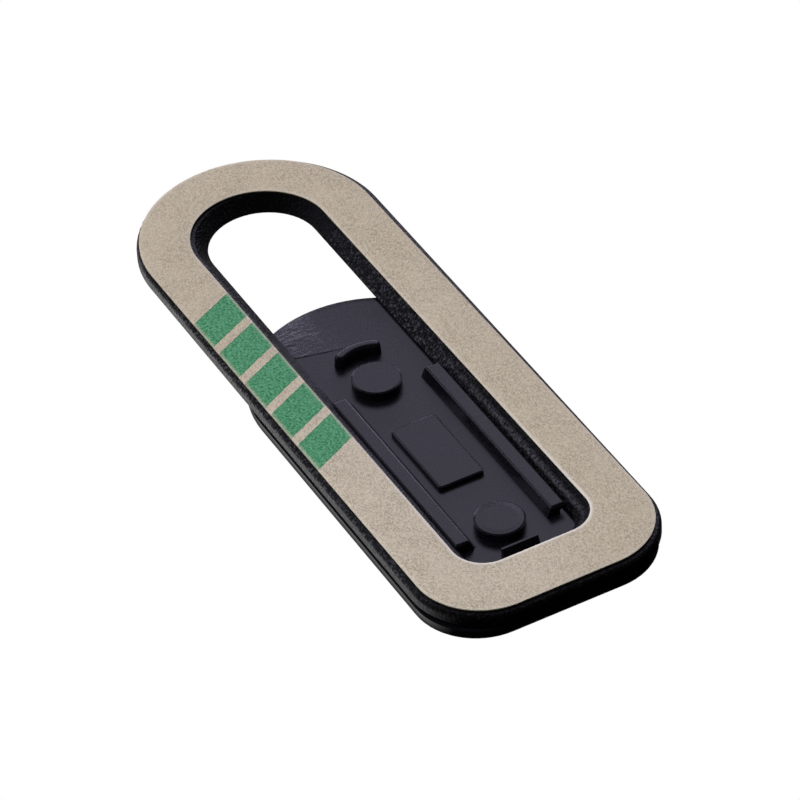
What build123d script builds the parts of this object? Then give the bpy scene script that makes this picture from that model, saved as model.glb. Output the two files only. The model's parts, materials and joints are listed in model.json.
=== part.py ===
"""Webcam cover: a stick-on frame with a shutter that slides along it, lying on the shutter's front.

The frame, its adhesive ring and the ring's paper liner make up the fixed body. The shutter hangs on
the frame by two lipped rails, which stand through the frame's bevelled opening and run along it.
Millimetres. +Z points to the adhesive side, and +X to the end where the shutter parks when open.
"""

import os

from build123d import *

# Frame: a flat ring, half-round at its far end, with two round corners at its near end
frame_length = 40.1
frame_width = 13.9
frame_thickness = 0.81
frame_corner_radius = 4.05
frame_back_round = 0.3
frame_front_bevel = 0.15

# Opening at the frame's back face, and the bevel that narrows it down to a short straight land
side_rim = 3.18
near_rim = 3.61
opening_corner_radius = 1.7
bevel_run = 0.68
opening_land = 0.12

# Adhesive ring and the paper liner on it, cut together and stuck on a little askew
ring_margin = 0.3
ring_setback = 0.1
ring_skew = 0.32
ring_shift_x = -0.04
ring_shift_y = -0.06
tape_thickness = 0.09
liner_thickness = 0.08

# Shutter plate, open to just short of the frame's near end, and pushed through its play until one side
# is flush. A shallow bevel eases the edge of its back.
shutter_length = 27.03
shutter_near_inset = 0.12
shutter_lean = 0.15
shutter_corner_radius = 3.6
shutter_thickness = 0.69
shutter_bevel_run = 0.45
shutter_bevel_drop = 0.07
shutter_front_round = 0.25
slide_gap = 0.06

# Rails: a foot that passes the land, and a lip above it with a lead-in, which catches the bevel
side_clearance = 0.22
rail_length = 13.2
rail_near_inset = 5.95
rail_height = 0.62
rail_foot_width = 0.75
rail_draft = 0.27
lip_clearance = 0.04
lip_reach = 0.34
lip_rise = 0.31
lip_lead = 0.11
rail_round = 0.18

# Stops: an arc rib for the closed end of the travel, and a tab for the open end
rib_clearance = 0.46
rib_foot_width = 0.69
rib_span = 54.0
rib_height = 0.7
rib_taper = 5.0
rib_round = 0.24
tab_clearance = 0.15
tab_width = 2.1
tab_foot = 0.36
tab_top = 0.12
tab_height = 0.48

# Pads on the shutter's back: a round one beside each stop, and a plain block halfway between them.
# They and the tab stand a little to one side of the plate's middle.
pad_shift = 0.18
disc_radius = 1.35
disc_height = 0.55
rib_disc_gap = 0.99
tab_disc_gap = 0.62
block_length = 5.35
block_width = 2.65
block_corner_radius = 0.2
block_height = 0.27
pad_bevel_run = 0.1
pad_bevel_drop = 0.05

# Levels and places that follow from the sizes above
frame_front_z = shutter_thickness + slide_gap
frame_back_z = frame_front_z + frame_thickness
half_width = frame_width / 2
near_x = frame_length / 2
frame_far_center = half_width - frame_length / 2
opening_half_width = half_width - side_rim
opening_near_x = near_x - near_rim
land_half_width = opening_half_width - bevel_run
land_near_x = opening_near_x - bevel_run
shutter_half_width = half_width - shutter_lean
shutter_near_x = near_x - shutter_near_inset
shutter_far_center = shutter_near_x - shutter_length + shutter_half_width
travel = frame_length - shutter_near_inset - shutter_length
rail_far_x = near_x - rail_near_inset - rail_length
rail_outer_y = land_half_width - side_clearance
rail_inner_y = rail_outer_y - rail_foot_width
lip_outer_y = rail_outer_y + lip_reach
lip_start = slide_gap + opening_land + lip_clearance
rib_center_x = frame_far_center + travel
rib_radius = land_half_width - rib_clearance - rib_foot_width / 2
tab_near_x = land_near_x - tab_clearance
tab_far_x = tab_near_x - tab_foot
far_disc_x = rib_center_x - rib_radius + rib_foot_width / 2 + rib_disc_gap + disc_radius
near_disc_x = tab_far_x - tab_disc_gap - disc_radius
block_x = (far_disc_x + near_disc_x) / 2


def cover_outline(far_center_x, end_x, half_span, corner_radius):
    """Face with a half-round far end, straight sides and a near end with two round corners."""
    corner_x = end_x - corner_radius
    corner_y = half_span - corner_radius
    with BuildSketch(Plane.XY) as outline:
        with BuildLine():
            far_end = CenterArc((far_center_x, 0), half_span, 90, 180)
            right_corner = CenterArc((corner_x, -corner_y), corner_radius, 270, 90)
            left_corner = CenterArc((corner_x, corner_y), corner_radius, 0, 90)
            Line(far_end @ 1, right_corner @ 0)
            Line(right_corner @ 1, left_corner @ 0)
            Line(left_corner @ 1, far_end @ 0)
        make_face()
    return outline.sketch


def frame_outline(inset):
    """The frame's outline, drawn in by the inset."""
    return cover_outline(
        frame_far_center, near_x - inset, half_width - inset, frame_corner_radius - inset
    )


def opening_outline(inset):
    """The opening's outline at the frame's back face, drawn in by the inset."""
    return cover_outline(
        frame_far_center,
        opening_near_x - inset,
        opening_half_width - inset,
        opening_corner_radius - inset,
    )


def flat_tops(piece, height):
    """Flat tops that stand at this height over the shutter's back."""
    level = shutter_thickness + height
    return piece.faces().filter_by_position(Axis.Z, level, level)


def bevel_tops(piece, height, run, drop):
    """Bevels the flat tops at this height: the bevel runs in over the top and drops down the side."""
    for top in flat_tops(piece, height):
        chamfer(top.edges(), run, drop, reference=top)


frame_face = frame_outline(0)
opening_face = opening_outline(0)
land_face = opening_outline(bevel_run)
ring_face = frame_outline(ring_margin)
ring_hole = opening_outline(-ring_setback)
shutter_face = cover_outline(
    shutter_far_center, shutter_near_x, shutter_half_width, shutter_corner_radius
)
rib_spine = CenterArc((rib_center_x, 0), rib_radius, 180 - rib_span / 2, rib_span)
ring_plane = Plane((ring_shift_x, ring_shift_y, frame_back_z)).rotated((0, 0, ring_skew))
front_plane = Plane((0, -shutter_lean, 0))
back_plane = front_plane.offset(shutter_thickness)
pad_plane = Plane((0, -shutter_lean - pad_shift, shutter_thickness))
rail_plane = Plane((rail_far_x, -shutter_lean, shutter_thickness), x_dir=(0, 1, 0), z_dir=(1, 0, 0))
tab_plane = Plane(pad_plane.origin, x_dir=(1, 0, 0), z_dir=(0, -1, 0))
rail_section = [
    (rail_inner_y, 0),
    (rail_outer_y, 0),
    (rail_outer_y, lip_start),
    (lip_outer_y, lip_start + lip_rise),
    (lip_outer_y - lip_lead, rail_height),
    (rail_inner_y + rail_draft, rail_height),
]
tab_section = [
    (tab_far_x, 0),
    (tab_near_x, 0),
    (tab_far_x + tab_top, tab_height),
    (tab_far_x, tab_height),
]

# Frame
with BuildPart() as base_frame:
    with BuildSketch(Plane.XY.offset(frame_front_z)):
        add(frame_face)
    extrude(amount=frame_thickness)
    chamfer(base_frame.faces().sort_by(Axis.Z)[0].edges(), frame_front_bevel)
    fillet(base_frame.faces().sort_by(Axis.Z)[-1].edges(), frame_back_round)
    with BuildSketch(Plane.XY.offset(frame_front_z)):
        add(land_face)
    extrude(amount=opening_land, mode=Mode.SUBTRACT)
    with BuildSketch(Plane.XY.offset(frame_front_z + opening_land)):
        add(land_face)
    with BuildSketch(Plane.XY.offset(frame_back_z)):
        add(opening_face)
    loft(ruled=True, mode=Mode.SUBTRACT)

# Adhesive ring on the frame's back face
with BuildPart() as adhesive_tape:
    with BuildSketch(ring_plane):
        add(ring_face)
        add(ring_hole, mode=Mode.SUBTRACT)
    extrude(amount=tape_thickness)

# Paper liner over the adhesive
with BuildPart() as release_liner:
    with BuildSketch(ring_plane.offset(tape_thickness)):
        add(ring_face)
        add(ring_hole, mode=Mode.SUBTRACT)
    extrude(amount=liner_thickness)

# Shutter: plate, rails, stops and pads, moulded as one piece
with BuildPart() as shutter:
    with BuildSketch(front_plane):
        add(shutter_face)
    extrude(amount=shutter_thickness)
    fillet(shutter.faces().sort_by(Axis.Z)[0].edges(), shutter_front_round)
    bevel_tops(shutter, 0, shutter_bevel_run, shutter_bevel_drop)
    with BuildSketch(rail_plane):
        with BuildLine():
            Polyline(rail_section, close=True)
        make_face()
        mirror(about=Plane.YZ)
    extrude(amount=rail_length)
    rail_tops = shutter.faces().filter_by(Axis.Z).group_by(Axis.Z)[-1].edges()
    rail_inner_tops = rail_tops.filter_by(Axis.X).sort_by_distance(back_plane.origin)[:2]
    fillet(rail_tops.filter_by(Axis.Y) + rail_inner_tops, rail_round)
    with BuildSketch(back_plane):
        SlotArc(rib_spine, rib_foot_width)
    extrude(amount=rib_height, taper=rib_taper)
    fillet(flat_tops(shutter, rib_height).edges(), rib_round)
    with BuildSketch(tab_plane):
        with BuildLine():
            Polyline(tab_section, close=True)
        make_face()
    extrude(amount=tab_width / 2, both=True)
    with BuildSketch(pad_plane):
        with Locations((far_disc_x, 0), (near_disc_x, 0)):
            Circle(disc_radius)
    extrude(amount=disc_height)
    bevel_tops(shutter, disc_height, pad_bevel_run, pad_bevel_drop)
    with BuildSketch(pad_plane):
        with Locations((block_x, 0)):
            RectangleRounded(block_length, block_width, block_corner_radius)
    extrude(amount=block_height)
    bevel_tops(shutter, block_height, pad_bevel_run, pad_bevel_drop)

os.makedirs("parts", exist_ok=True)
base_frame.part.label = "base_frame"
adhesive_tape.part.label = "adhesive_tape"
release_liner.part.label = "release_liner"
shutter.part.label = "shutter"
export_step(base_frame.part, "parts/base_frame.step")
export_step(adhesive_tape.part, "parts/adhesive_tape.step")
export_step(release_liner.part, "parts/release_liner.step")
export_step(shutter.part, "parts/shutter.step")
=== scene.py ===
# %% [markdown]
# # A stick-on webcam cover, dressed for its picture
#
# The cover lies adhesive side up: a black ring frame, a ring of tape under a tan paper liner, and a
# black shutter that hangs on the frame by two rails. The four solids come from the part's own model and
# already have their real size and place, in metres. This lesson sets a camera and a light, gives every
# piece its finish, and models the paper liner anew. Nothing is moved from where the solids are.

# %% Load the solids
import json
import math

import bmesh
import bpy
from mathutils import Matrix, Vector

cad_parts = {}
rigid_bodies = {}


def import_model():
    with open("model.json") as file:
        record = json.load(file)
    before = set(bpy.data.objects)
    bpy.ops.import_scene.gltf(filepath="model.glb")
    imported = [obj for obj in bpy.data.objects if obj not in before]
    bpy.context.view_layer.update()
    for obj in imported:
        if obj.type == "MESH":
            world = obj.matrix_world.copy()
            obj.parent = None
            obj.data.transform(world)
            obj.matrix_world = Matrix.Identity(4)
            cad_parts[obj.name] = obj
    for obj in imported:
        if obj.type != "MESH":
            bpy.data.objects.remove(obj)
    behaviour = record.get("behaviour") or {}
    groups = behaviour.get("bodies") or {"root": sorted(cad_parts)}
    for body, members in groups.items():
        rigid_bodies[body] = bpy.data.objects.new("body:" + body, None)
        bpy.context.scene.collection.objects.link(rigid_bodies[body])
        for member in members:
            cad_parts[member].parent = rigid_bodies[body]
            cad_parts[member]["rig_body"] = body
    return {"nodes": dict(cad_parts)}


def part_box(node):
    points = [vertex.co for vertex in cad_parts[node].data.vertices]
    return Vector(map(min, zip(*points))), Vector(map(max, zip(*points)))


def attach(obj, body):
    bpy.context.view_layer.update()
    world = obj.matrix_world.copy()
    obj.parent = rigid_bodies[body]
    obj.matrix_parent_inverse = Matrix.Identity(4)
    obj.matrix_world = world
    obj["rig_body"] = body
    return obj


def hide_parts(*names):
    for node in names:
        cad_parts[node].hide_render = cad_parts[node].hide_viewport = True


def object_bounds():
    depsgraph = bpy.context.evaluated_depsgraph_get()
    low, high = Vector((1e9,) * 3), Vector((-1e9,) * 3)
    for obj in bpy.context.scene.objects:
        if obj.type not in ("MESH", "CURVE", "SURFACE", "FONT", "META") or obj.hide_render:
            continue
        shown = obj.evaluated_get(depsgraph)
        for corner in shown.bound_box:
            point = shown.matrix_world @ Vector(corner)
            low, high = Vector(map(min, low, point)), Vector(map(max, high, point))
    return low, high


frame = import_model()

MM = 0.001
cad_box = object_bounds()
cover_size = (cad_box[1] - cad_box[0]) / MM
liner_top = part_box("release_liner")[1].z
print("cover, mm:", [round(side, 2) for side in cover_size])

# %% [markdown]
# ## Camera
#
# A long lens stands off the near end and looks down the length of the cover from the left. Its place is
# kept as an azimuth, an elevation and a distance from a point on the liner's top, because those read like
# the way a photographer sets a tripod. The small roll is the tripod's own tilt.

# %% Set the camera
CAMERA_AZIMUTH = math.radians(63.40)
CAMERA_ELEVATION = math.radians(40.35)
CAMERA_ROLL = math.radians(-3.54)
CAMERA_DISTANCE = 257.9 * MM
CAMERA_LENS = 222.94
SENSOR_WIDTH = 36
NEAREST_SEEN = 0.01
AIM_POINT = Vector((3.048 * MM, -0.436 * MM, liner_top))

back = Vector((
    math.sin(CAMERA_AZIMUTH) * math.cos(CAMERA_ELEVATION),
    -math.cos(CAMERA_AZIMUTH) * math.cos(CAMERA_ELEVATION),
    math.sin(CAMERA_ELEVATION),
))
right = Vector((0, 0, 1)).cross(back).normalized()
up = back.cross(right)
tilt = Matrix.Rotation(CAMERA_ROLL, 3, back)
turned = Matrix((tilt @ right, tilt @ up, back)).transposed()

camera_data = bpy.data.cameras.new("camera")
camera_data.lens = CAMERA_LENS
camera_data.sensor_width = SENSOR_WIDTH
camera_data.clip_start = NEAREST_SEEN
camera = bpy.data.objects.new("camera", camera_data)
camera.matrix_world = Matrix.Translation(AIM_POINT + back * CAMERA_DISTANCE) @ turned.to_4x4()
bpy.context.scene.collection.objects.link(camera)
bpy.context.scene.camera = camera
print("camera at, mm:", [round(v / MM, 1) for v in camera.matrix_world.translation])

# %% [markdown]
# ## Patterns in millimetres
#
# The patterns on this object run from under a tenth of a millimetre to a few millimetres, so the materials
# measure in millimetres. The object coordinates, which are metres, pass through a Mapping node that scales
# them up, and a noise scale is then simply the number of grains in a millimetre. Most of the helpers below
# add one or two nodes, so that a finish can be written down like a sum.


# %% Helpers that start a finish and measure on it
def new_material(name):
    """A node material, its tree and its Principled shader."""
    material = bpy.data.materials.new(name)
    material.use_nodes = True
    return material, material.node_tree, material.node_tree.nodes["Principled BSDF"]


def millimetres(tree, turn=0.0, stretch=(1, 1, 1), shift=(0, 0, 0)):
    """Object coordinates in millimetres, turned about Z, stretched and shifted."""
    place = tree.nodes.new("ShaderNodeTexCoord")
    mapping = tree.nodes.new("ShaderNodeMapping")
    mapping.inputs["Scale"].default_value = [s / MM for s in stretch]
    mapping.inputs["Rotation"].default_value[2] = turn
    mapping.inputs["Location"].default_value = shift
    tree.links.new(place.outputs["Object"], mapping.inputs["Vector"])
    return mapping.outputs["Vector"]


def axes(tree, vector):
    """The X, Y and Z of a vector, by name."""
    node = tree.nodes.new("ShaderNodeSeparateXYZ")
    tree.links.new(vector, node.inputs["Vector"])
    return node.outputs


# %% Helpers that reckon with values
def spread(tree, value, low, high, new_low=0.0, new_high=1.0):
    """The value with its range from low to high spread over a new range, and held there."""
    node = tree.nodes.new("ShaderNodeMapRange")
    for name, number in (("From Min", low), ("From Max", high), ("To Min", new_low), ("To Max", new_high)):
        node.inputs[name].default_value = number
    tree.links.new(value, node.inputs["Value"])
    return node.outputs["Result"]


def combine(tree, operation, first, second=0.0):
    """A Math node between two values, either of which may be a plain number."""
    node = tree.nodes.new("ShaderNodeMath")
    node.operation = operation
    for socket, value in zip(node.inputs, (first, second)):
        if isinstance(value, (int, float)):
            socket.default_value = value
        else:
            tree.links.new(value, socket)
    return node.outputs["Value"]


def product(tree, first, *others):
    """All the values multiplied together."""
    for value in others:
        first = combine(tree, "MULTIPLY", first, value)
    return first


def remainder(tree, value):
    """What is left of one when the value is taken away."""
    return combine(tree, "SUBTRACT", 1.0, value)


def past(tree, value, start):
    """How far the value lies past the start, and nothing before it."""
    return combine(tree, "MAXIMUM", combine(tree, "SUBTRACT", value, start), 0.0)


# %% [markdown]
# ## Floor
#
# The cover lies on a plain white sheet that is lit until it burns out, so the camera sees it as an even
# white glow. The glossy plastic sees the sheet too, and there its light matters: strong on the left, where
# the light comes from, and weaker to the right, close to the cover and further away. In front of the near
# end lies the cover's own shadow. The floor is therefore one emission: plain white to the camera, and to
# the plastic as strong as that light and shade.

# %% Lay the floor
FLOOR_SIDE = 4.0

bpy.context.scene.view_settings.view_transform = "Standard"
bpy.ops.object.select_all(action="DESELECT")
bpy.ops.mesh.primitive_plane_add(size=FLOOR_SIDE, location=(0, 0, cad_box[0].z))
floor = bpy.context.object
floor.name = "floor"
print("floor at, mm:", round(cad_box[0].z / MM, 3))

# %% Measure how far a point of the floor lies from the cover
COVER_CORNER = 4.05
half_width = cover_size.y / 2
near_end = cover_size.x / 2
far_end = -near_end

floor_paint, tree, shader = new_material("floor_paint")
place = axes(tree, millimetres(tree))
forward = past(tree, place["X"], near_end - COVER_CORNER)
sideways = past(tree, combine(tree, "ABSOLUTE", place["Y"]), half_width - COVER_CORNER)
squares = combine(tree, "ADD", combine(tree, "POWER", forward, 2), combine(tree, "POWER", sideways, 2))
outward = combine(tree, "SQRT", squares)
gap = combine(tree, "SUBTRACT", outward, COVER_CORNER)
print("cover reaches, mm:", round(near_end, 2), "along and", round(half_width, 2), "across")

# %% Light the floor
GLOW_LEFT, GLOW_RIGHT = 1.75, 0.3
GLOW_FAR, GLOW_NEAR = 1.6, 0.9
GLOW_STARTS = (0.2, 0.5)
GLOW_AT_COVER = 0.1
GLOW_FADES = (0.65, 1.4)
GLOW_FAR_OFF = 0.2
SHADOW_FACING = (0.1, 0.6)
SHADOW_WIDTH = 0.07

across = spread(tree, place["Y"], -half_width, 0.0, GLOW_LEFT, GLOW_RIGHT)
lengthwise = spread(tree, place["X"], far_end, near_end, GLOW_FAR, GLOW_NEAR)
facing = spread(tree, combine(tree, "DIVIDE", forward, outward), *SHADOW_FACING)
shadow = product(tree, facing, spread(tree, gap, 0.0, SHADOW_WIDTH))
starts = spread(tree, gap, *GLOW_STARTS, GLOW_AT_COVER, 1.0)
fades = spread(tree, gap, *GLOW_FADES, 1.0, GLOW_FAR_OFF)
glow = product(tree, across, lengthwise, remainder(tree, shadow), starts, fades)

seen = tree.nodes.new("ShaderNodeLightPath").outputs["Is Camera Ray"]
mirrored = product(tree, glow, remainder(tree, seen))
emission = tree.nodes.new("ShaderNodeEmission")
tree.links.new(combine(tree, "ADD", seen, mirrored), emission.inputs["Strength"])
tree.links.new(emission.outputs["Emission"], tree.nodes["Material Output"].inputs["Surface"])
tree.nodes.remove(shader)
floor.data.materials.append(floor_paint)
print("glow at the far left:", round(GLOW_LEFT * GLOW_FAR, 2))
print("glow at the far right:", round(GLOW_RIGHT * GLOW_FAR, 2))

# %% [markdown]
# ## Light
#
# Black plastic shows what it mirrors more than what falls on it, so every softbox but one hangs where one
# kind of face mirrors it into the camera. A wide one behind the far end lays a soft sheen on every level
# face. Under it a low strip draws bright lines along the rounded far edges, one small box lights the inner
# edge of the left rail, and another the right bevels of the pads. A small one at the far left serves the
# bevel of the opening. The key light hangs high on the left and lights the paper. Its gloss is switched off,
# as a polarising filter would do, so that it leaves no hot spots on the plastic. Nothing stands on the
# camera's side, so the walls that face the camera stay black.

# %% Hang the softboxes
LIGHT_DISTANCE = 0.8
COOL_WHITE = (0.98, 0.95, 1.24)


def softbox(name, azimuth, elevation, width, height, radiance, colour=(1, 1, 1)):
    """A rectangular light that faces the cover, with the given radiance over its whole face."""
    data = bpy.data.lights.new(name, "AREA")
    data.shape = "RECTANGLE"
    data.size = width
    data.size_y = height
    data.energy = radiance * math.pi * width * height
    data.color = colour
    lamp = bpy.data.objects.new(name, data)
    around = math.radians(azimuth)
    above = math.radians(elevation)
    toward = Vector((
        math.cos(around) * math.cos(above),
        math.sin(around) * math.cos(above),
        math.sin(above),
    ))
    lamp.location = toward * LIGHT_DISTANCE
    lamp.rotation_mode = "QUATERNION"
    lamp.rotation_quaternion = toward.to_track_quat("Z", "Y")
    bpy.context.scene.collection.objects.link(lamp)
    print(name, "at, m:", [round(v, 2) for v in lamp.location])
    return lamp


softbox("back_light", azimuth=153, elevation=48, width=1.3, height=0.48, radiance=0.88, colour=COOL_WHITE)
softbox("edge_light", azimuth=160, elevation=10, width=0.55, height=0.17, radiance=2.6, colour=COOL_WHITE)
softbox("rail_light", azimuth=138, elevation=19, width=0.22, height=0.28, radiance=1.9, colour=COOL_WHITE)
softbox("pad_light", azimuth=132, elevation=5, width=0.18, height=0.14, radiance=1.1, colour=COOL_WHITE)
softbox("wall_light", azimuth=223, elevation=20, width=0.3, height=0.2, radiance=1.6, colour=COOL_WHITE)
key_light = softbox("key_light", azimuth=268, elevation=57, width=0.65, height=0.55, radiance=4.3)
key_light.visible_glossy = False

# %% Dim the room
ROOM_LIGHT = 0.02

world = bpy.data.worlds.new("room")
world.use_nodes = True
background = world.node_tree.nodes["Background"]
background.inputs["Color"].default_value = (1, 1, 1, 1)
background.inputs["Strength"].default_value = ROOM_LIGHT
bpy.context.scene.world = world
print("room light:", ROOM_LIGHT)

# %% [markdown]
# ## Smooth copies of the moulded pieces
#
# A solid arrives as loose triangles, each shaded flat, and its round walls would show facets. A copy of
# the frame, of the tape and of the shutter is merged, shaded smooth up to a sharp angle, and given normals
# that follow its large flat faces. The copy then stands for its solid, with the same shape and place.

# %% Copy and smooth
SMOOTH_ANGLE = math.radians(20)
MERGE_DISTANCE = 0.0005 * MM


def smooth_copy(node_name, piece_name):
    """A merged, smoothly shaded copy of a solid, which stands for it on the same body."""
    solid = frame["nodes"][node_name]
    piece = bpy.data.objects.new(piece_name, solid.data.copy())
    piece.data.materials.clear()
    bpy.context.scene.collection.objects.link(piece)
    bpy.ops.object.select_all(action="DESELECT")
    piece.select_set(True)
    bpy.context.view_layer.objects.active = piece
    bpy.ops.object.mode_set(mode="EDIT")
    bpy.ops.mesh.select_all(action="SELECT")
    bpy.ops.mesh.customdata_custom_splitnormals_clear()
    bpy.ops.mesh.remove_doubles(threshold=MERGE_DISTANCE)
    bpy.ops.object.mode_set(mode="OBJECT")
    bpy.ops.object.shade_smooth_by_angle(angle=SMOOTH_ANGLE)
    bpy.ops.object.modifier_add(type="WEIGHTED_NORMAL")
    piece.modifiers[-1].keep_sharp = True
    bpy.ops.object.modifier_apply(modifier=piece.modifiers[-1].name)
    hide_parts(node_name)
    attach(piece, solid["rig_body"])
    print(piece_name, "has", len(piece.data.vertices), "points")
    return piece


ring_frame = smooth_copy("base_frame", "ring_frame")
tape_ring = smooth_copy("adhesive_tape", "tape_ring")
shutter_plate = smooth_copy("shutter", "shutter_plate")

# %% [markdown]
# ## Grain, colour and relief
#
# Real plastic and paper are never one flat colour. Their grain is a noise, and the same noise can mix two
# colours, vary the gloss and raise the surface, so that all three belong together. These helpers add the
# noise, the mix and the relief. Relief is a bump, because the grain is too fine to be modelled.


# %% Helpers that draw a grain
def noise(tree, vector, per_mm, detail=2.0, roughness=0.5):
    """A grey noise with this many grains in a millimetre."""
    node = tree.nodes.new("ShaderNodeTexNoise")
    node.inputs["Scale"].default_value = per_mm
    node.inputs["Detail"].default_value = detail
    node.inputs["Roughness"].default_value = roughness
    tree.links.new(vector, node.inputs["Vector"])
    return node.outputs["Fac"]


def blend(tree, factor, first, second):
    """The first colour where the factor is 0 and the second where it is 1."""
    node = tree.nodes.new("ShaderNodeMix")
    node.data_type = "RGBA"
    tree.links.new(factor, node.inputs["Factor"])
    for name, colour in (("A", first), ("B", second)):
        socket = next(s for s in node.inputs if s.name == name and s.type == "RGBA")
        if isinstance(colour, tuple):
            socket.default_value = (*colour, 1)
        else:
            tree.links.new(colour, socket)
    return next(s for s in node.outputs if s.type == "RGBA")


def bump(tree, shader, height, depth, base=None):
    """Relief of this depth in metres on the shader's normal, or on top of another relief."""
    node = tree.nodes.new("ShaderNodeBump")
    node.inputs["Distance"].default_value = depth
    tree.links.new(height, node.inputs["Height"])
    if base is not None:
        tree.links.new(base, node.inputs["Normal"])
    tree.links.new(node.outputs["Normal"], shader.inputs["Normal"])
    return node.outputs["Normal"]


NOISE_RANGE = (0.3, 0.7)
print("most of a noise lies from and to:", NOISE_RANGE)

# %% [markdown]
# ## Frame: spark-eroded black plastic
#
# The frame's mould was left with the fine pitted skin of spark erosion, and the walls of the frame copy
# it. Where the edges of the pits catch a raking light they glint, and these glints are painted into the
# colour as pale specks on black. They thin out towards both ends, a painted shade where that light does
# not reach. Beside the rails a grey band of painted sheen lies on the bevel of the opening, halfway down
# on the right and up to the edge on the left. So the finish is made of relief, painted glints, the painted
# sheen of that band and a broken sheen from its roughness, and masks along X, Y and Z say where each lies.

# %% Pit the frame
PITS_PER_MM = 7.5
PIT_DEPTH = 0.085 * MM
FRAME_ROUGHNESS = (0.4, 0.28)
FRAME_SPECULAR = 0.28

frame_plastic, tree, shader = new_material("frame_plastic")
place = millimetres(tree)
split = axes(tree, place)
pits = noise(tree, place, PITS_PER_MM, detail=2, roughness=0.6)
tree.links.new(spread(tree, pits, *NOISE_RANGE, *FRAME_ROUGHNESS), shader.inputs["Roughness"])
shader.inputs["Specular IOR Level"].default_value = FRAME_SPECULAR
bump(tree, shader, pits, PIT_DEPTH)
print("frame pits, mm:", round(1 / PITS_PER_MM, 3))

# %% Mark out where the painted glints and the painted sheen lie
GLINTS_SET_IN = (-13.0, -10.0)
GLINTS_THIN_OUT = (14.5, 17.5)
NEAR_GLINTS = 0.1
OPENING_ENDS_X = (-17.2, 16.7)
OPENING_SIDE_Y = 4.0
BAND_SETS_IN = (-1.0, 6.0)
BAND_SHARE = 0.85
BAND_FOOT = (1.12, 1.235)
BAND_TOP = (1.28, 1.45)

# Painted shade: the glints and the sheen thin out towards both ends, where the raking light does not reach.
past_far_end = spread(tree, split["X"], *GLINTS_SET_IN)
short_of_near_end = spread(tree, split["X"], *GLINTS_THIN_OUT, 1.0, NEAR_GLINTS)
painted_light_reach = product(tree, past_far_end, short_of_near_end)

beside = combine(tree, "LESS_THAN", combine(tree, "ABSOLUTE", split["Y"]), OPENING_SIDE_Y)
after_far_wall = combine(tree, "GREATER_THAN", split["X"], OPENING_ENDS_X[0])
before_near_wall = combine(tree, "LESS_THAN", split["X"], OPENING_ENDS_X[1])
sets_in = spread(tree, split["X"], *BAND_SETS_IN, 0.0, BAND_SHARE)
banded = product(tree, beside, after_far_wall, before_near_wall, sets_in)

on_left = combine(tree, "LESS_THAN", split["Y"], 0.0)
below_top = combine(tree, "MAXIMUM", spread(tree, split["Z"], *BAND_TOP, 1.0, 0.0), on_left)
# The band is painted sheen: a lighter grey where the bevel catches the light.
band = product(tree, spread(tree, split["Z"], *BAND_FOOT), below_top, painted_light_reach, banded)
print("rubbed band from and to z, mm:", BAND_FOOT[0], BAND_TOP[1])

# %% Colour the frame
# The pale speck colour is a painted glint, and the lighter grey is a painted sheen.
FRAME_BLACK = (0.0008, 0.0008, 0.0009)
FRAME_GLINT = (0.062, 0.058, 0.072)
FRAME_SHEEN_GREY = (0.105, 0.101, 0.120)
PIT_GLINTS = (0.52, 0.64)
SHEEN_SPECKS = (0.34, 0.68)
LEFT_SHEEN = 0.9

# Painted glints on the pits, and over them the painted sheen of the band.
painted_glints = product(tree, spread(tree, pits, *PIT_GLINTS), painted_light_reach, remainder(tree, banded))
sheen_share = combine(tree, "MAXIMUM", spread(tree, pits, *SHEEN_SPECKS), product(tree, on_left, LEFT_SHEEN))
glinted = blend(tree, painted_glints, FRAME_BLACK, FRAME_GLINT)
lightened = blend(tree, product(tree, band, sheen_share), glinted, FRAME_SHEEN_GREY)
tree.links.new(lightened, shader.inputs["Base Color"])
ring_frame.data.materials.append(frame_plastic)
print("frame finish has", len(tree.nodes), "nodes")

# %% [markdown]
# ## Tape: a dull cut edge
#
# Only the cut edge of the tape shows, as a dark line under the paper. It is foam and glue, so it is rougher
# than the plastic and mirrors less.

# %% Dress the tape
TAPE_BLACK = (0.012, 0.011, 0.010)
TAPE_BROWN = (0.032, 0.028, 0.024)
TAPE_ROUGHNESS = 0.75
TAPE_SPECULAR = 0.3
CRUMBS_PER_MM = 12.0
CRUMB_DEPTH = 0.008 * MM

tape_edge, tree, shader = new_material("tape_edge")
crumbs = noise(tree, millimetres(tree), CRUMBS_PER_MM, detail=3)
tree.links.new(blend(tree, crumbs, TAPE_BLACK, TAPE_BROWN), shader.inputs["Base Color"])
shader.inputs["Roughness"].default_value = TAPE_ROUGHNESS
shader.inputs["Specular IOR Level"].default_value = TAPE_SPECULAR
bump(tree, shader, crumbs, CRUMB_DEPTH)
tape_ring.data.materials.append(tape_edge)
print("tape crumbs, mm:", round(1 / CRUMBS_PER_MM, 3))

# %% [markdown]
# ## Shutter: satin black plastic
#
# The shutter came from a smoother mould. Its back has a satin, slightly violet sheen with a very fine
# grain on a faintly uneven face. Past the far stop the plastic cooled in wrinkles, paler than the rest,
# which end at the faint line of a mould insert and fade to the right. The round pad by the near stop was
# pushed out by a pin and has a sloping rim. The left rail meets the plate in a sharp inside corner, which
# shows as a dark line. All this is far finer than the plate is thick, so it is relief in the material, each
# bump laid on top of the one before.

# %% Grain the shutter
SHUTTER_BLACK = (0.0016, 0.0014, 0.0026)
SHUTTER_SPECK = (0.0060, 0.0055, 0.0085)
SHUTTER_ROUGHNESS = (0.25, 0.33)
GRAIN_PER_MM = 11.0
GRAIN_DEPTH = 0.004 * MM
GRAIN_SPECKS = (0.35, 0.65)
SWELLS_PER_MM = 0.45
SWELL_DEPTH = 0.03 * MM

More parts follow.
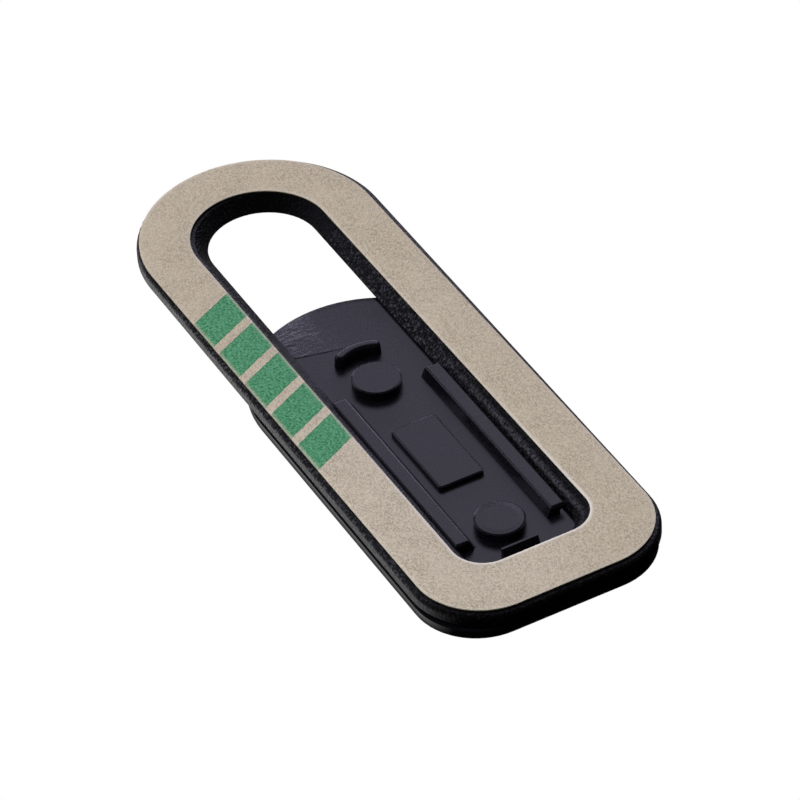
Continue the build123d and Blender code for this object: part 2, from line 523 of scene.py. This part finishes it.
shutter_plastic, tree, shader = new_material("shutter_plastic")
place = millimetres(tree)
split = axes(tree, place)
fine = noise(tree, place, GRAIN_PER_MM, detail=3, roughness=0.6)
black = blend(tree, spread(tree, fine, *GRAIN_SPECKS), SHUTTER_BLACK, SHUTTER_SPECK)
tree.links.new(spread(tree, fine, *NOISE_RANGE, *SHUTTER_ROUGHNESS), shader.inputs["Roughness"])
grained = bump(tree, shader, fine, GRAIN_DEPTH)
uneven = bump(tree, shader, noise(tree, place, SWELLS_PER_MM, detail=1), SWELL_DEPTH, base=grained)
print("shutter grain, mm:", round(1 / GRAIN_PER_MM, 3))

# %% Wrinkle it past the far stop
WRINKLE_GREY = (0.060, 0.057, 0.080)
WRINKLES_PER_MM = 4.0
WRINKLE_TURN = -0.15
WRINKLE_STRETCH = (1, 0.32, 1)
WRINKLE_DEPTH = 0.16 * MM
WRINKLES_FADE_Y = (-2.4, 0.1)
PATCHES_PER_MM = 0.7
PATCH_RANGE = (0.4, 0.6)
PATCH_SHARES = (0.5, 1.0)
INSERT_LINE_SLANT = 0.24
INSERT_LINE = (-3.18, -3.08)

lengthened = millimetres(tree, turn=WRINKLE_TURN, stretch=WRINKLE_STRETCH)
wrinkles = noise(tree, lengthened, WRINKLES_PER_MM, detail=3, roughness=0.6)
patches = spread(tree, noise(tree, place, PATCHES_PER_MM, detail=1), *PATCH_RANGE, *PATCH_SHARES)
slanted = axes(tree, millimetres(tree, turn=INSERT_LINE_SLANT))["X"]
far_part = spread(tree, slanted, *INSERT_LINE, 1.0, 0.0)
left_part = spread(tree, split["Y"], *WRINKLES_FADE_Y, 1.0, 0.0)
skin = product(tree, wrinkles, patches, far_part, left_part)
wrinkled = bump(tree, shader, skin, WRINKLE_DEPTH, base=uneven)
tree.links.new(blend(tree, skin, black, WRINKLE_GREY), shader.inputs["Base Color"])
print("insert line slants by, degrees:", round(math.degrees(INSERT_LINE_SLANT), 1))

# %% Slope the pad's rim and sharpen the rail's foot
PIN_PAD = (13.28, -0.33, 0)
PIN_PAD_RIM = (0.95, 1.32)
PIN_PAD_DROP = 0.04 * MM
FOOT_LINE_Y = (-2.27, -2.16)
FOOT_LINE_ENDS_X = (0.9, 14.1)
FOOT_LINE_DEPTH = 0.06 * MM
FLATTEN = (1, 1, 0)

flat = tree.nodes.new("ShaderNodeVectorMath")
flat.operation = "MULTIPLY"
flat.inputs[1].default_value = FLATTEN
tree.links.new(place, flat.inputs[0])
reach = tree.nodes.new("ShaderNodeVectorMath")
reach.operation = "DISTANCE"
reach.inputs[1].default_value = PIN_PAD
tree.links.new(flat.outputs["Vector"], reach.inputs[0])
crown = spread(tree, reach.outputs["Value"], *PIN_PAD_RIM, 1.0, 0.0)
crowned = bump(tree, shader, crown, PIN_PAD_DROP, base=wrinkled)

foot_line = spread(tree, split["Y"], *FOOT_LINE_Y)
before_rail = combine(tree, "LESS_THAN", split["X"], FOOT_LINE_ENDS_X[0])
after_rail = combine(tree, "GREATER_THAN", split["X"], FOOT_LINE_ENDS_X[1])
clear_of_rail = combine(tree, "MAXIMUM", before_rail, after_rail)
bump(tree, shader, combine(tree, "MAXIMUM", foot_line, clear_of_rail), FOOT_LINE_DEPTH, base=crowned)
shutter_plate.data.materials.append(shutter_plastic)
print("shutter finish has", len(tree.nodes), "nodes")

# %% [markdown]
# ## Liner: a die-cut ring of paper
#
# The liner and the tape were cut in one stroke and stuck on by hand, a little askew. The skew and the
# place are measured on the solid. The outline is a flat plane with its corners bevelled round, once for the
# outside and once for the window, and the two loops are bridged. The die presses the paper's rim down, so
# the ring is thickened and its top inset and raised in two small steps.

# %% Measure how the ring lies
solid = frame["nodes"]["release_liner"]
longest_wall = max(solid.data.polygons, key=lambda face: face.area * abs(face.normal.y))
ring_skew = math.atan(-longest_wall.normal.x / longest_wall.normal.y)
straight = Matrix.Rotation(-ring_skew, 3, "Z")
points = [straight @ point.co for point in solid.data.vertices]
ring_low = Vector([min(p[axis] for p in points) for axis in range(3)])
ring_high = Vector([max(p[axis] for p in points) for axis in range(3)])
ring_middle = straight.inverted() @ ((ring_low + ring_high) / 2)
ring_length = ring_high.x - ring_low.x
ring_half_width = (ring_high.y - ring_low.y) / 2
liner_thickness = ring_high.z - ring_low.z
print("ring, mm:", round(ring_length / MM, 2), round(2 * ring_half_width / MM, 2))
print("skew, degrees:", round(math.degrees(ring_skew), 2))

# %% Draw the two outlines
RING_CORNER = 3.75 * MM
SIDE_STRIP = 2.78 * MM
NEAR_STRIP = 3.21 * MM
WINDOW_CORNER = 1.8 * MM
ARC_STEPS = 24
ROUND = 0.5
TINY = 0.001 * MM

bpy.ops.object.select_all(action="DESELECT")
bpy.ops.mesh.primitive_plane_add(size=1)
liner = bpy.context.object
liner.name = "paper_liner"
bpy.ops.object.mode_set(mode="EDIT")
bpy.ops.mesh.select_mode(type="VERT")
bpy.ops.mesh.delete(type="VERT")


def round_corners(x, half_width, radius, steps):
    """Bevels the two corner points at this x into arcs."""
    shape = bmesh.from_edit_mesh(liner.data)
    for point in shape.verts:
        at_corner = abs(point.co.x - x) < TINY and abs(abs(point.co.y) - half_width) < TINY
        point.select_set(at_corner)
    shape.select_flush(False)
    bpy.ops.mesh.bevel(affect="VERTICES", offset=radius, segments=steps, profile=ROUND, clamp_overlap=False)


def draw_outline(far_x, near_x, half_width, near_radius):
    """A loop of edges with a half-round far end and two round near corners."""
    middle = ((far_x + near_x) / 2, 0, 0)
    bpy.ops.mesh.select_all(action="DESELECT")
    bpy.ops.mesh.primitive_plane_add(size=1, location=middle)
    bpy.ops.transform.resize(value=(near_x - far_x, 2 * half_width, 1), center_override=middle)
    round_corners(far_x, half_width, half_width, 2 * ARC_STEPS)
    round_corners(near_x, half_width, near_radius, ARC_STEPS)
    bpy.ops.mesh.select_all(action="SELECT")
    bpy.ops.mesh.delete(type="ONLY_FACE")


half_length = ring_length / 2
draw_outline(-half_length, half_length, ring_half_width, RING_CORNER)
draw_outline(SIDE_STRIP - half_length, half_length - NEAR_STRIP, ring_half_width - SIDE_STRIP, WINDOW_CORNER)
bpy.ops.mesh.select_all(action="SELECT")
bpy.ops.mesh.remove_doubles(threshold=MERGE_DISTANCE)
bpy.ops.mesh.bridge_edge_loops()
print("ring of", len(bmesh.from_edit_mesh(liner.data).faces), "faces")

# %% Thicken the ring and press its rim down
RIM_STEPS = ((0.05 * MM, 0.018 * MM), (0.17 * MM, 0.012 * MM))
rim_drop = sum(rise for _, rise in RIM_STEPS)

bpy.ops.mesh.select_all(action="SELECT")
bpy.ops.mesh.normals_make_consistent(inside=False)
bpy.ops.mesh.extrude_region_move(TRANSFORM_OT_translate={"value": (0, 0, liner_thickness - rim_drop)})
for width, rise in RIM_STEPS:
    bpy.ops.mesh.inset(thickness=width, use_boundary=True)
    bpy.ops.transform.translate(value=(0, 0, rise))
bpy.ops.mesh.select_all(action="SELECT")
bpy.ops.mesh.normals_make_consistent(inside=False)
bpy.ops.object.mode_set(mode="OBJECT")
bpy.ops.object.shade_smooth_by_angle(angle=SMOOTH_ANGLE)
print("rim pressed down by, mm:", round(rim_drop / MM, 3))

# %% Lay the liner on the tape
liner.rotation_euler.z = ring_skew
liner.location = (ring_middle.x, ring_middle.y, ring_low.z)
bpy.ops.object.transform_apply(location=True, rotation=True, scale=True)
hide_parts("release_liner")
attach(liner, "frame")
heights = [point.co.z for point in liner.data.vertices]
print("liner from", round(min(heights) / MM, 3), "to", round(max(heights) / MM, 3), "mm")

# %% [markdown]
# ## Paper and ink
#
# The paper is tan and calendered: a cloudy base with fine dark specks. Towards the far end and on the right
# it is painted darker and a little yellower, a painted shade where less light falls. Its rim is lighter,
# most of all round the near end of the window. One side carries a band of green print, here plain slanted
# bars. The ink sits unevenly on the slick paper, so it is speckled and a little darker along the edges of
# each bar. Near the rim it is fainter.

# %% Make the paper
PAPER_LIGHT = (0.765, 0.672, 0.52)
# The next colour is the paper in painted shade, darker and a little yellower.
PAPER_SHADED = (0.705, 0.612, 0.452)
PAPER_DARK = (0.29, 0.232, 0.155)
PAPER_ROUGHNESS = 0.62
PAPER_SPECULAR = 0.35
FIBRES_PER_MM = 9.0
FIBRE_TURN = 0.6
FIBRE_STRETCH = (1, 1.5, 1)
FIBRE_SPECKS = (0.38, 0.57)
FIBRE_DEPTH = 0.004 * MM
CLOUDS_PER_MM = 0.8
CLOUD_RANGE = (0.35, 0.7)
CLOUD_SHARES = (0.6, 0.9)
SHADE_FAR_X = (-8.0, 4.0)
SHADE_RIGHT_Y = (-1.0, 4.0)
SHADE_RIGHT_SHARE = 0.75

liner_paper, tree, shader = new_material("liner_paper")
place = millimetres(tree)
split = axes(tree, place)
lengthened = millimetres(tree, turn=FIBRE_TURN, stretch=FIBRE_STRETCH)
fibres = noise(tree, lengthened, FIBRES_PER_MM, detail=4, roughness=0.8)
specks = spread(tree, fibres, *FIBRE_SPECKS, 1.0, 0.0)
cloudy = spread(tree, noise(tree, place, CLOUDS_PER_MM, detail=2), *CLOUD_RANGE, *CLOUD_SHARES)
# Painted shade: darker and a little yellower towards the far end and on the right, where less light falls.
far_part = spread(tree, split["X"], *SHADE_FAR_X, 1.0, 0.0)
right_part = spread(tree, split["Y"], *SHADE_RIGHT_Y, 0.0, SHADE_RIGHT_SHARE)
base = blend(tree, combine(tree, "MAXIMUM", far_part, right_part), PAPER_LIGHT, PAPER_SHADED)
paper = blend(tree, product(tree, specks, cloudy), base, PAPER_DARK)
shader.inputs["Roughness"].default_value = PAPER_ROUGHNESS
shader.inputs["Specular IOR Level"].default_value = PAPER_SPECULAR
bump(tree, shader, fibres, FIBRE_DEPTH)
print("paper fibres, mm:", round(1 / FIBRES_PER_MM, 3))

# %% Lighten its rim
PAPER_RIM = (0.90, 0.84, 0.74)
RIM_BELOW_TOP = (0.012, 0.001)
OUTER_SIDE_Y = 5.0
OUTER_END_X = 18.0
OUTER_LOSS = 0.7
PALE_RIM_X = (4.0, 15.0)
PALE_RIM_SHARES = (0.3, 0.95)

# The rim is made lighter, most of all round the near end of the window, and the ink fainter there.
rim_low, rim_high = (liner_top / MM - depth for depth in RIM_BELOW_TOP)
rim = spread(tree, split["Z"], rim_low, rim_high, 1.0, 0.0)
outer_side = past(tree, combine(tree, "ABSOLUTE", split["Y"]), OUTER_SIDE_Y)
outer_end = past(tree, split["X"], OUTER_END_X)
outside = combine(tree, "GREATER_THAN", combine(tree, "ADD", outer_side, outer_end), 0.0)
inside = remainder(tree, product(tree, outside, OUTER_LOSS))
lightened = product(tree, spread(tree, split["X"], *PALE_RIM_X, *PALE_RIM_SHARES), inside)
paper = blend(tree, product(tree, rim, lightened), paper, PAPER_RIM)
print("rubbed rim from and to z, mm:", round(rim_low, 3), round(rim_high, 3))

# %% Draw the bars
BAR_PITCH = 2.6
BAR_SHARE = 0.78
BAR_SLANT = math.radians(-27)
BARS_START = 10.4
BAR_COUNT = 5
WOBBLES_PER_MM = 3.0
WOBBLE = 0.03

slanted = axes(tree, millimetres(tree, turn=BAR_SLANT, shift=(BARS_START, 0, 0)))["X"]
wobble = spread(tree, noise(tree, place, WOBBLES_PER_MM, detail=3), *NOISE_RANGE, -WOBBLE, WOBBLE)
bars = combine(tree, "DIVIDE", combine(tree, "ADD", slanted, wobble), BAR_PITCH)
within = combine(tree, "FRACT", bars)
on_bar = combine(tree, "LESS_THAN", within, BAR_SHARE)
started = combine(tree, "GREATER_THAN", bars, 0.0)
ended = combine(tree, "LESS_THAN", bars, BAR_COUNT)
left_side = combine(tree, "LESS_THAN", split["Y"], 0.0)
printed = product(tree, on_bar, started, ended, left_side)
print("bars:", BAR_COUNT, "a pitch of, mm:", BAR_PITCH)

# %% Ink them
INK_DEEP = (0.006, 0.175, 0.055)
INK_PALE = (0.15, 0.455, 0.24)
INK_RIM = (0.035, 0.19, 0.085)
INK_SPECKS_PER_MM = 8.0
INK_SPECKS = (0.38, 0.62)
INK_EDGE = 0.04
INK_EDGE_SHARE = 0.6
RIM_INK_FADE = 0.55

speckle = spread(tree, noise(tree, place, INK_SPECKS_PER_MM, detail=3, roughness=0.75), *INK_SPECKS)
from_start = spread(tree, within, 0.0, INK_EDGE, 1.0, 0.0)
from_end = spread(tree, within, BAR_SHARE - INK_EDGE, BAR_SHARE)
bar_edge = product(tree, combine(tree, "MAXIMUM", from_start, from_end), INK_EDGE_SHARE)
ink = blend(tree, bar_edge, blend(tree, speckle, INK_DEEP, INK_PALE), INK_RIM)
left_on = remainder(tree, product(tree, rim, RIM_INK_FADE))
tree.links.new(blend(tree, product(tree, printed, left_on), paper, ink), shader.inputs["Base Color"])
liner.data.materials.append(liner_paper)
print("paper finish has", len(tree.nodes), "nodes")
